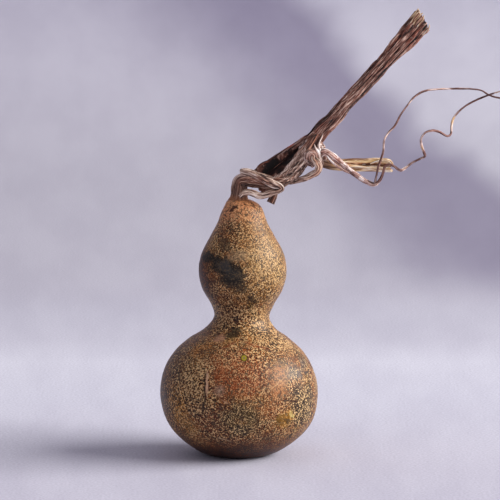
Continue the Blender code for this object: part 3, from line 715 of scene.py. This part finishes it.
# Mould and bruises, with a painted sheen on the mould: colour, strength, place, radii, turn and softness, laid over
# the speckle.
RIND_BRUISES_AND_SHEEN = (
    ((28, 24, 22), 0.96, (-9, -7.2, 60.8), (3.7, 4.2, 1.5), 12, 0.35),
    ((30, 27, 25), 0.96, (-5, -11, 58.9), (4, 4.2, 2.6), 24, 0.35),
    ((32, 29, 26), 0.96, (-2, -12.3, 56.7), (4.4, 4.2, 3.1), 26, 0.35),
    ((36, 32, 24), 0.92, (-1.8, -12.2, 53.9), (3.8, 4, 2), 12, 0.5),
    # Painted sheen: the next two grey patches stand for a soft highlight on the mould.
    ((96, 98, 104), 0.45, (-4.4, -11.6, 58.6), (2.4, 3, 1.3), 30, 0.9),
    ((84, 88, 92), 0.35, (-1.8, -12.6, 56.6), (2.6, 3, 1.6), 22, 0.9),
    ((196, 172, 142), 0.55, (-0.4, -11.9, 61.4), (3.4, 3, 1.4), -10, 0.8),
    ((70, 60, 48), 0.7, (-4, -9.2, 64.4), (2, 2.4, 1.5), 30, 0.7),
    ((50, 42, 34), 0.8, (3.8, -10.6, 48.6), (1.8, 2.4, 0.9), 20, 0.6),
    ((58, 48, 32), 0.7, (0.6, -12.2, 51.6), (2.6, 2.4, 0.9), -10, 0.8),
    ((178, 138, 122), 0.75, (-5.4, -10.8, 36.6), (1.7, 2.4, 1.2), -20, 0.6),
    ((62, 46, 40), 0.7, (-9.4, -11.4, 33.6), (2.8, 3, 0.9), -24, 0.8),
    ((178, 142, 124), 0.45, (-5.7, -22.4, 22.9), (1.7, 2, 1.6), 0, 0.9),
    ((224, 204, 190), 0.5, (-5.6, -22.5, 22.9), (0.5, 1.2, 0.5), 0, 0.8),
    ((50, 44, 34), 0.88, (-1.1, -10.4, 38.3), (2.6, 2.4, 0.9), -12, 0.6),
    ((70, 34, 24), 0.94, (-1.7, -4.6, 75.1), (1.35, 1.7, 0.65), -28, 0.45),
    ((64, 36, 28), 0.88, (1.4, -4.8, 76.1), (0.55, 0.8, 0.38), 0, 0.4),
    ((92, 56, 48), 0.88, (4.6, -3.6, 75.7), (0.6, 0.8, 0.55), 30, 0.4),
    ((84, 66, 18), 0.8, (12.3, -18.9, 13.8), (0.9, 2, 1.4), 0, 0.5),
    ((186, 136, 40), 0.5, (13.6, -18.2, 14.2), (3.2, 2, 1.9), -20, 0.9),
    ((84, 62, 22), 0.8, (14.4, -17.9, 12.9), (1.4, 2, 0.5), 24, 0.6),
    ((232, 218, 150), 0.9, (15.8, -16.9, 14.8), (0.6, 1.4, 0.8), 20, 0.5),
    ((60, 44, 26), 0.85, (15.4, -13.2, 7.8), (1.1, 1.6, 0.75), -24, 0.45),
    ((56, 56, 66), 0.8, (20.6, -8.6, 26.2), (0.6, 1.5, 2.6), 24, 0.5),
    ((100, 96, 106), 0.7, (17.6, -12.6, 26), (1.4, 1.8, 1.1), 10, 0.6),
    ((48, 44, 38), 0.85, (6, 11, 58.5), (3.6, 4, 2.2), -24, 0.45),
    ((66, 68, 70), 0.85, (-16, 14, 27.5), (4.6, 5, 2.4), 18, 0.45),
    ((56, 50, 40), 0.8, (12, 19, 11), (3.8, 3.4, 2), 10, 0.45),
)
# Scratches and scars: colour, strength, place, radii and turn.
RIND_SCRATCHES = (
    ((40, 22, 16), 0.85, (-9.8, -20.7, 24.6), (0.34, 3, 4), 4),
    ((240, 202, 178), 1, (-9.2, -20.9, 25), (0.32, 3, 3.4), 4),
    ((38, 22, 16), 0.85, (-10.2, -20.6, 18.6), (0.3, 3, 3.6), 9),
    ((236, 196, 150), 0.55, (11.6, -19.2, 24.6), (0.16, 4, 4.4), 52),
    ((236, 190, 140), 0.5, (12.6, -18.8, 25.2), (0.14, 4, 3.6), -46),
    ((226, 206, 178), 0.8, (-4.2, -19.4, 7.9), (1.9, 3, 0.22), 14),
    ((150, 70, 40), 0.55, (5, -16.4, 35.2), (5.2, 4, 0.26), 16),
    ((150, 74, 44), 0.55, (-2.6, -16.4, 35.4), (3.4, 4, 0.24), -24),
    ((46, 34, 30), 0.6, (18.4, -8.6, 31.2), (3.2, 4, 0.5), 48),
    ((214, 176, 150), 0.6, (-3.8, -22.9, 19.6), (1.4, 2, 0.18), 28),
)
# The small green dot, ring by ring from the outside: colour, strength, radius and softness.
GREEN_DOT_AT = (1.7, -18.4, 32.1)
GREEN_DOT = (((54, 42, 22), 0.95, 1.1, 0.15), ((178, 172, 50), 0.95, 0.78, 0.25), ((140, 132, 104), 0.9, 0.32, 0.4))
# Painted shade on the rind: browner and darker on its left side away from the light, at the waist and underneath, as a
# share, a place and radii.
RIND_PAINTED_SHADE = (
    (0.95, (-14, -3, 54.5), (7, 14, 11)), (0.8, (-28, 2, 22), (7.5, 18, 18)), (0.95, (0, -6, -2), (22, 24, 9)),
    (0.25, (-6, -4, 44), (5, 12, 6)),
)
# How the speckle changes over the rind: added contrast, added paleness, the place and its size.
SPECKLE_PLACES = (
    (0.3, 0.045, (-12, -19.2, 22.6), (5.4, 9, 9)), (0.4, 0.02, (19.4, -12.8, 17), (4.4, 7.5, 6)),
    (0.25, 0.03, (10.5, -9, 36.6), (8, 8, 3.6)), (0.4, 0.03, (-2, -7, 43), (8, 7, 4.5)),
    (0.15, 0.01, (-4, -22, 20), (4, 4, 3)), (0.3, 0, (-20, -8, 20), (5, 8, 12)), (0.2, 0, (-3, -19, 10), (8, 6, 3)),
    (0.2, 0.01, (7, -17, 32.5), (6, 6, 2.6)), (-0.25, 0, (-2, -21, 26), (6.5, 5, 5.5)),
    # The first place on the next line calms the speckle under the painted highlight.
    (-0.55, 0, (12, -19, 25.6), (3.2, 6, 5.2)), (-0.55, 0.02, (0.2, 0, 77), (8, 8, 7.5)),
    (-0.15, 0.02, (8, -8, 62), (6, 7, 9)), (-0.25, -0.03, (0, -16, 3), (16, 10, 4)),
    (0.2, 0.02, (-6, 18, 22), (10, 8, 9)), (-0.25, 0, (16, 12, 26), (6, 8, 6)),
)


def near(place, centre, radii, turn=0, soft=0.5):
    """1 inside an ellipsoid round a place, in mm, fading to 0 over its edge."""
    x, y, z = (a - b for a, b in zip(place, centre))
    reach = max(radii) * (1 + soft)
    if abs(x) > reach or abs(y) > reach or abs(z) > reach:
        return 0.0
    cosine, sine = math.cos(math.radians(turn)), math.sin(math.radians(turn))
    far = math.hypot((x * cosine - z * sine) / radii[0], y / radii[1], (x * sine + z * cosine) / radii[2])
    return smooth_step(1 + soft, 1 - soft, far)


def mark_rind(fruit):
    """Lays the stains and a painted highlight on the fruit in layers, with how strong and pale its speckle is and
    where painted shade makes it browner and darker.
    """
    marks = new_marks(fruit.data, stain="FLOAT_COLOR", speckle="FLOAT", paler="FLOAT", shade="FLOAT")
    for vert, stain, speckle, paler, shade in zip(fruit.data.vertices, *marks):
        place = vert.co / MM
        place += noise.noise_vector(place / 3.0) * 1.1 + noise.noise_vector(place / 1.3) * 0.6
        mixed, cover = Vector(tone(150, 98, 56)[:3]), 0.0
        for colour, strength, *reach in RIND_STAINS_AND_HIGHLIGHT:
            here = near(place, *reach) * strength
            if here:
                cover = cover * (1 - here) + here
                mixed = mixed.lerp(Vector(tone(*colour)[:3]), here / cover)
        stain.color = (*mixed, cover)
        speckle.value = sum(more * near(place, *reach) for more, _, *reach in SPECKLE_PLACES)
        paler.value = sum(more * near(place, *reach) for _, more, *reach in SPECKLE_PLACES)
        # How much painted shade darkens the rind here.
        shade.value = max(share * near(place, *reach) for share, *reach in RIND_PAINTED_SHADE)
    return fruit


def gourd_rind():
    """Mottled rind: brown ground, stains, a painted highlight, pale worm-like flecks, dark specks, mould with a
    painted sheen, scars, painted shade and a dull polish.
    """
    rind = Finish("gourd_rind")
    shake = rind.noise(2.6 * MM, detail=4, roughness=0.7, output="Color")
    drift = rind.vectors("SUBTRACT", shake, (0.5, 0.5, 0.5))
    ragged = rind.vectors("MULTIPLY_ADD", drift, (4.5 * MM,) * 3, rind.place)
    wavering = rind.vectors("MULTIPLY_ADD", drift, (1.6 * MM,) * 3, rind.place)

    broad = rind.noise(6 * MM, detail=4, roughness=0.65)
    browns = (0.34, (104, 62, 34)), (0.45, (160, 96, 48)), (0.54, (184, 120, 60)), (0.65, (130, 100, 44))
    ground = rind.ramp(broad, *browns)
    # The stains carry the painted highlight on the belly's right too.
    ground = rind.mix(rind.attribute("stain", "Alpha"), ground, rind.attribute("stain", "Color"))

    contrast = rind.spread(rind.noise(4 * MM, detail=3), 0.35, 0.65, 0.7, 1.0)
    paleness = rind.spread(rind.noise(8 * MM, detail=2), 0.3, 0.7, -0.04, 0.02)
    contrast = rind.math("ADD", contrast, rind.attribute("speckle"))
    paleness = rind.math("ADD", paleness, rind.attribute("paler"))
    contrast = rind.math("MINIMUM", rind.math("MAXIMUM", contrast, 0.06), 1.0)
    field = rind.noise(0.38 * MM, detail=1.0, roughness=0.4, distortion=0.6)
    coarse = rind.noise(0.52 * MM, detail=1.0, roughness=0.4, distortion=0.7)
    coarse = rind.math("SUBTRACT", coarse, field)
    coarse = rind.math("MULTIPLY", coarse, rind.spread(rind.attribute("speckle"), 0.02, 0.22))
    field = rind.math("ADD", rind.math("ADD", field, coarse), paleness)
    flecks = rind.spread(field, 0.54, 0.575)
    shadows = rind.spread(field, 0.5, 0.44)
    pale = rind.mix(0.9, ground, tone(255, 228, 180))
    dark = rind.mix(0.96, ground, tone(16, 8, 6))
    skin = rind.laid(rind.laid(ground, dark, shadows, contrast), pale, flecks, contrast)
    freckles = rind.spread(rind.noise(1.9 * MM, detail=2, roughness=0.6), 0.6, 0.68, 0.0, 0.6)
    skin = rind.mix(freckles, skin, tone(84, 62, 54))
    specks = rind.spread(rind.noise(0.9 * MM, detail=1, distortion=0.8), 0.63, 0.68, 0.0, 0.75)
    skin = rind.mix(specks, skin, tone(62, 42, 38))

    gnawed = rind.spread(rind.noise(0.6 * MM, detail=2, roughness=0.6), 0.25, 0.75, -0.5, 0.5)
    for colour, strength, *reach in RIND_BRUISES_AND_SHEEN:
        here = rind.math("MULTIPLY_ADD", gnawed, 0.8, rind.patch(ragged, *reach))
        skin = rind.mix(rind.spread(here, 0.1, 0.85, 0.0, strength), skin, tone(*colour))

    for colour, strength, wide, soft in GREEN_DOT:
        ring = rind.patch(rind.place, GREEN_DOT_AT, (wide, 1.6, wide), 0, soft)
        skin = rind.laid(skin, tone(*colour), ring, strength)
    for colour, strength, centre, radii, turn in RIND_SCRATCHES:
        skin = rind.laid(skin, tone(*colour), rind.patch(wavering, centre, radii, turn, 0.5), strength)
    skin = rind.tinted(skin, 216, 200, 180)
    # Painted shade: browner and darker on the left side away from the light, at the waist and underneath.
    skin = rind.mix(rind.attribute("shade"), skin, tone(134, 74, 26), "MULTIPLY")

    rough = rind.spread(field, 0.35, 0.65, 0.38, 0.52)
    rind.bumped(rind.math("MULTIPLY_ADD", field, 0.6, rind.noise(0.4 * MM, detail=2)), 0.06 * MM, 0.8)
    rind.shader.inputs["Specular IOR Level"].default_value = 0.25
    return rind.done(skin, rough)


# Fibrous finishes: the colour from the furrows up to the ridges, which the relief shifts as painted shade, that of the
# streaks, then grain in mm and roughness.
FIBRES = {
    "vine_bark": ((12, 7, 7), (64, 39, 33), (112, 72, 59), (144, 103, 88), (202, 172, 156), (190, 110, 66), 0.4, 0.75),
    "frayed_fibre": (
        (70, 46, 34), (156, 116, 84), (208, 170, 130), (234, 206, 172), (252, 238, 216), (200, 140, 96), 0.4, 0.75,
    ),
    "fruit_stem_fibre": (
        (20, 13, 12), (80, 56, 47), (140, 108, 93), (190, 158, 140), (242, 218, 202), (186, 130, 94), 0.46, 0.75,
    ),
    "straw": (
        (52, 30, 20), (152, 106, 70), (222, 184, 142), (246, 222, 188), (255, 247, 232), (206, 150, 104), 0.5, 0.68,
    ),
    "forked_tendril_skin": (
        (46, 28, 26), (132, 92, 80), (206, 172, 160), (238, 214, 205), (255, 244, 238), (196, 126, 92), 0.45, 0.62,
    ),
    "clasping_tendril_fibre": (
        (24, 15, 13), (92, 64, 53), (162, 128, 110), (208, 178, 158), (248, 228, 212), (190, 130, 92), 0.46, 0.7,
    ),
    "bud_fibre": (
        (24, 14, 12), (88, 56, 47), (150, 108, 93), (194, 154, 138), (236, 208, 194), (190, 118, 88), 0.42, 0.72,
    ),
    "joint_bark": (
        (18, 11, 11), (74, 50, 43), (132, 100, 88), (186, 154, 140), (244, 226, 216), (186, 116, 84), 0.5, 0.76,
    ),
}


def fibre(name):
    """Dry fibrous bark: painted shade makes it dark in its furrows and light on its ridges, with threads, streaks and
    pale flecks along it.
    """
    *levels, streak, grain, roughness = FIBRES[name]
    bark = Finish(name, roughness)
    fibres = bark.grained(grain, 0.07, 3, 0.6, 0.2)
    threads = bark.grained(grain * 0.6, 0.1, roughness=0.6)
    broad = bark.grained(grain * 4.0, 0.2, 3, 0.6)
    level = bark.math("MULTIPLY_ADD", fibres, 1.3, bark.math("MULTIPLY_ADD", threads, 1.3, -1.03))
    level = bark.math("MULTIPLY_ADD", broad, 0.5, level)
    # Painted shade: the relief of the surface darkens the furrows and lightens the ridges.
    level = bark.math("MULTIPLY_ADD", bark.attribute("relief"), 0.13, level)
    colour = bark.ramp(level, *zip((0.12, 0.32, 0.5, 0.66, 0.84), levels))
    warm = bark.spread(bark.grained(grain * 2.5, 0.1), 0.5, 0.66, 0.0, 0.45)
    colour = bark.mix(warm, colour, bark.mix(1.0, colour, tone(*streak), "OVERLAY"))
    flecks = bark.spread(bark.grained(grain * 0.7, 0.3, 1), 0.62, 0.7, 0.0, 0.45)
    colour = bark.mix(flecks, colour, tone(*levels[-1]))
    bark.bumped(bark.math("MULTIPLY_ADD", threads, 0.7, fibres), 0.22 * MM, 0.9)
    return bark, colour


def plain_fibre(name):
    bark, colour = fibre(name)
    return bark.done(colour)


def vine_bark():
    """Painted shade in the torn trough and painted shadow in the cracks, with straw showing at the broken end and a
    red scratch.
    """
    bark, colour = fibre("vine_bark")
    # Painted shade: the torn trough is darkened where the relief sinks.
    painted_trough_shade = bark.spread(bark.attribute("relief"), -0.5, -0.95)
    colour = bark.laid(colour, bark.tinted(colour, 84, 56, 52), painted_trough_shade, 0.92)
    # Painted shadow: the deepest grooves go nearly black.
    painted_groove_shadow = bark.spread(bark.attribute("relief"), -1.7, -2.7)
    colour = bark.laid(colour, tone(20, 12, 11), painted_groove_shadow, 0.85)
    high = bark.spread(bark.axis("Z"), 0.1308, 0.1326)
    frayed = bark.spread(bark.grained(0.7, 0.2), 0.44, 0.52)
    frayed = bark.math("MAXIMUM", bark.math("MULTIPLY", bark.attribute("core"), 0.8), frayed)
    colour = bark.laid(colour, tone(230, 198, 158), bark.math("MULTIPLY", high, frayed), 0.85)
    red = bark.patch(bark.place, (15.6, 3.0, 93.6), (1.3, 3.5, 0.5), -35, 0.5)
    return bark.done(bark.laid(colour, tone(206, 92, 60), red, 0.9))


def fruit_stem_fibre():
    """Duskier below, redder where it meets the vine, and tan at the crown."""
    bark, colour = fibre("fruit_stem_fibre")
    height = bark.axis("Z")
    colour = bark.laid(colour, bark.tinted(colour, 160, 140, 128), bark.spread(height, 0.0835, 0.0815), 0.8)
    top = bark.spread(height, 0.0905, 0.0945, 0.0, 0.85)
    colour = bark.mix(top, colour, bark.tinted(colour, 168, 118, 96))
    foot = bark.patch(bark.place, (0.2, 0.0, 75.6), (5.5, 5.5, 3.0), 0, 0.35)
    return bark.done(bark.laid(colour, tone(166, 106, 66), foot, 0.7))


def straw():
    """Rusty and yellow streaks, and painted shade on the root by the knot."""
    bark, colour = fibre("straw")
    rusty = bark.grained(0.7, 0.05)
    colour = bark.mix(bark.spread(rusty, 0.57, 0.62, 0.0, 0.8), colour, tone(104, 58, 34))
    colour = bark.mix(bark.spread(rusty, 0.44, 0.38, 0.0, 0.6), colour, tone(230, 190, 118))
    # Painted shade: darker towards the root, where it leaves the knot.
    shaded = bark.spread(bark.axis("X"), 0.0315, 0.0265, 0.0, 0.9)
    return bark.done(bark.mix(shaded, colour, bark.tinted(colour, 96, 68, 58)))


def tendril_bark():
    """The trunk is patchy; its branches are banded with brown and tan."""
    bark, colour = fibre("forked_tendril_skin")
    across = bark.axis("X")
    bands = bark.noise(8 * MM, detail=2, roughness=0.5)
    darker = bark.math("MULTIPLY", bark.spread(bands, 0.58, 0.48, 0.0, 0.9), bark.spread(across, 0.038, 0.042))
    colour = bark.mix(darker, colour, bark.tinted(colour, 126, 80, 64))
    patches = bark.spread(bark.noise(2.2 * MM, detail=3, roughness=0.6), 0.5, 0.6, 0.0, 0.7)
    patches = bark.math("MULTIPLY", patches, bark.spread(across, 0.042, 0.038))
    colour = bark.mix(patches, colour, bark.tinted(colour, 168, 120, 104))
    tan = bark.math("MULTIPLY", bark.spread(bands, 0.54, 0.64, 0.0, 0.7), bark.spread(across, 0.04, 0.044))
    return bark.done(bark.mix(tan, colour, tone(200, 158, 100)))


def joint_bark():
    """A pale blob, and a scar with a pale rim round a brown middle."""
    bark, colour = fibre("joint_bark")
    blob = bark.patch(bark.place, (24.0, -3.0, 92.0), (0.9, 1.4, 0.8), 0, 0.5)
    colour = bark.laid(colour, tone(238, 230, 226), blob, 0.85)
    for size, shade in ((1.25, (222, 200, 186)), (0.85, (112, 62, 42))):
        scar = bark.patch(bark.place, (25.7, -2.1, 89.9), (0.8 * size, 1.6, size), 30, 0.3)
        colour = bark.laid(colour, tone(*shade), scar, 0.85)
    return bark.done(colour)


# The stage: a pale floor that curves up into its backdrop, the light, the world and the camera.
TARGET = Vector((0.00345, 0, 0.062))
CAMERA_RISE = 7
CAMERA_LENS = 240
# The camera's place, rounded: how far it stands in front of the gourd, and how high.
EYE_AWAY = 0.9925
EYE_HEIGHT = 0.184


def make_stage():
    """The cloth's pattern and its painted light and shade are laid out as they are seen from the front, so that they
    aren't squeezed towards the back.
    """
    bpy.ops.mesh.primitive_plane_add(size=7.0, location=(0, 0, 0))
    sweep = named("floor")
    bpy.ops.object.transform_apply(location=True)
    bpy.ops.object.mode_set(mode="EDIT")
    pick(sweep, lambda place: place.y > 3.4)
    bpy.ops.mesh.spin(steps=24, angle=math.radians(-86), center=(0, 3.5, 0.9), axis=(1, 0, 0))
    extrude((0, 0.1, 2.0))
    bpy.ops.object.mode_set(mode="OBJECT")
    sweep.data.shade_smooth()
    cloth = Finish("pale_backdrop", 0.95)
    away = cloth.math("MAXIMUM", cloth.math("ADD", cloth.axis("Y"), EYE_AWAY), 0.4)
    sideways = cloth.math("DIVIDE", cloth.axis("X"), away)
    down = cloth.math("DIVIDE", cloth.math("SUBTRACT", EYE_HEIGHT, cloth.axis("Z")), away)
    spot = cloth.node("CombineXYZ", {"X": sideways, "Y": down}).outputs[0]
    clouds = cloth.noise(0.016, spot, detail=3, roughness=0.55)
    slope = cloth.math("MULTIPLY_ADD", cloth.noise(0.03, spot, detail=2), 0.03, cloth.math("SUBTRACT", sideways, down))
    # Painted light and shade on the cloth: a darker slanting band and a lighter top on the backdrop, and a floor
    # lightest a little behind the gourd and darker nearer and farther off.
    band = cloth.math("MULTIPLY", cloth.spread(slope, -0.094, -0.032), cloth.spread(slope, -0.026, -0.008, 1.0, 0.0))
    upper = cloth.mix(cloth.spread(slope, -0.03, -0.008), tone(190, 187, 199), tone(197, 195, 206))
    upper = cloth.mix(band, upper, tone(140, 134, 155))
    upper = cloth.mix(1.0, upper, cloth.spread(down, 0.11, 0.03, 1.0, 1.55), "MULTIPLY")
    lower = cloth.ramp(
        cloth.math("MULTIPLY_ADD", down, 15.385, -2.077), (0.0, (191, 188, 201)), (0.12, (197, 195, 208)),
        (0.23, (202, 200, 213)), (0.34, (218, 217, 229)), (0.5, (214, 213, 226)), (0.85, (204, 201, 215)),
    )
    colour = cloth.mix(cloth.spread(down, 0.126, 0.142), upper, lower)
    colour = cloth.mix(cloth.spread(clouds, 0.3, 0.7, 0.0, 0.35), colour, cloth.tinted(colour, 224, 222, 228))
    weave = cloth.noise(0.0008, detail=1)
    colour = cloth.mix(cloth.spread(weave, 0.35, 0.65, 0.0, 0.22), colour, tone(126, 122, 138))
    sweep.data.materials.append(cloth.done(colour))


def direction(azimuth, elevation):
    """From the gourd outward. Azimuth 0 is the viewer's side and 90 the right."""
    turn, rise = math.radians(azimuth), math.radians(elevation)
    return Vector((math.sin(turn) * math.cos(rise), -math.cos(turn) * math.cos(rise), math.sin(rise)))


def add_light():
    """One large soft box, from the right and a little above."""
    away = direction(84, 27)
    bpy.ops.object.light_add(type="AREA", location=TARGET + away * 3.2)
    light = named("key")
    light.data.shape = "RECTANGLE"
    light.data.size, light.data.size_y = 3.0, 1.6
    light.data.energy = 178
    light.data.color = (1.0, 0.99, 0.97)
    light.rotation_euler = away.to_track_quat("Z", "Y").to_euler()


def add_world():
    """Even light from all round, a little dimmer from the left."""
    world = bpy.data.worlds.new("studio")
    world.use_nodes = True
    nodes, links = world.node_tree.nodes, world.node_tree.links
    split = nodes.new("ShaderNodeSeparateXYZ")
    shade = nodes.new("ShaderNodeValToRGB")
    shade.color_ramp.elements[0].color = (0.35, 0.34, 0.385, 1)
    shade.color_ramp.elements[1].color = (0.54, 0.52, 0.555, 1)
    links.new(nodes.new("ShaderNodeTexCoord").outputs["Generated"], split.inputs[0])
    links.new(split.outputs["X"], shade.inputs["Fac"])
    links.new(shade.outputs["Color"], nodes["Background"].inputs["Color"])
    nodes["Background"].inputs["Strength"].default_value = 1.0
    bpy.context.scene.world = world
    bpy.context.scene.view_settings.view_transform = "Standard"


def add_camera():
    away = direction(0, CAMERA_RISE)
    bpy.ops.object.camera_add(location=TARGET + away, rotation=away.to_track_quat("Z", "Y").to_euler())
    camera = named("camera")
    camera.data.lens = CAMERA_LENS
    camera.data.sensor_width = 36
    bpy.context.scene.camera = camera


def hand_over(piece, node, finish):
    """Dresses a piece, says what it rides on, and hides the solid of model.glb that it stands for, where it stands for
    one.
    """
    piece.data.materials.append(finish)
    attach(piece, "root")
    if node:
        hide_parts(node)


hand_over(mark_rind(turn_fruit()), "gourd", gourd_rind())
hand_over(make_fruit_stem(), "fruit_stem", fruit_stem_fibre())
vine = grow("vine_bark", VINE, vine_skin, 28, 64, 2, "hollow", "hollow", vine_tear)
hand_over(vine, "vine", vine_bark())
hand_over(make_frayed_fibres(), None, plain_fibre("frayed_fibre"))
hand_over(make_joint(), None, joint_bark())
hand_over(make_bud(), None, plain_fibre("bud_fibre"))
hand_over(make_leaf_stalk(), "leaf_stalk", straw())
hand_over(make_forked_tendril(), "forked_tendril", tendril_bark())
clasping = grow("clasping_tendril_skin", CLASPING_TENDRIL, clasping_skin, 14, 130)
hand_over(clasping, "clasping_tendril", plain_fibre("clasping_tendril_fibre"))

make_stage()
add_light()
add_world()
add_camera()
